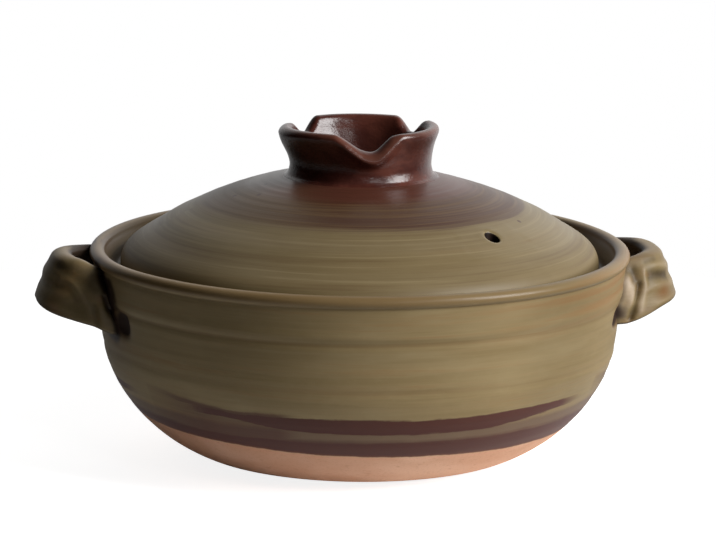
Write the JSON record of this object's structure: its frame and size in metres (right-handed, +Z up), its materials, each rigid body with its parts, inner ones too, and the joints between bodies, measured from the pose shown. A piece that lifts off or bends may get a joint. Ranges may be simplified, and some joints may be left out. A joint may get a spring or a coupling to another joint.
{
  "type": "clay pot",
  "caption": "Round lidded stoneware casserole with strap handles, a domed lid with a steam hole and a notched ring knob.",
  "frame": {"origin": "middle of the flat base, on the surface that the pot stands on", "axes": "+X through the right handle, +Y to the back, +Z up through the lid and the knob"},
  "size_m": [0.3046, 0.255, 0.1575],
  "materials": {
    "pot_body": "satin olive glaze over iron brushwork, plain fired clay at the base",
    "handle_left": "satin olive and iron glaze that breaks darker on the flutes",
    "handle_right": "satin olive and iron glaze that breaks darker on the flutes",
    "lid_dome": "satin olive glaze with a brown band of fine turned lines round the knob",
    "lid_knob": "semi-gloss dark red-brown iron glaze"
  },
  "bodies": {
    "pot": {"pot_body": "pot_body", "handle_left": "handle_left", "handle_right": "handle_right"},
    "lid": {"lid_dome": "lid_dome", "lid_knob": "lid_knob"}
  },
  "joints": [
    {"name": "lid_lift", "type": "slide", "parent": "pot", "child": "lid", "axis": [0, 0, 1], "range_m": [0, 0.15]}
  ]
}
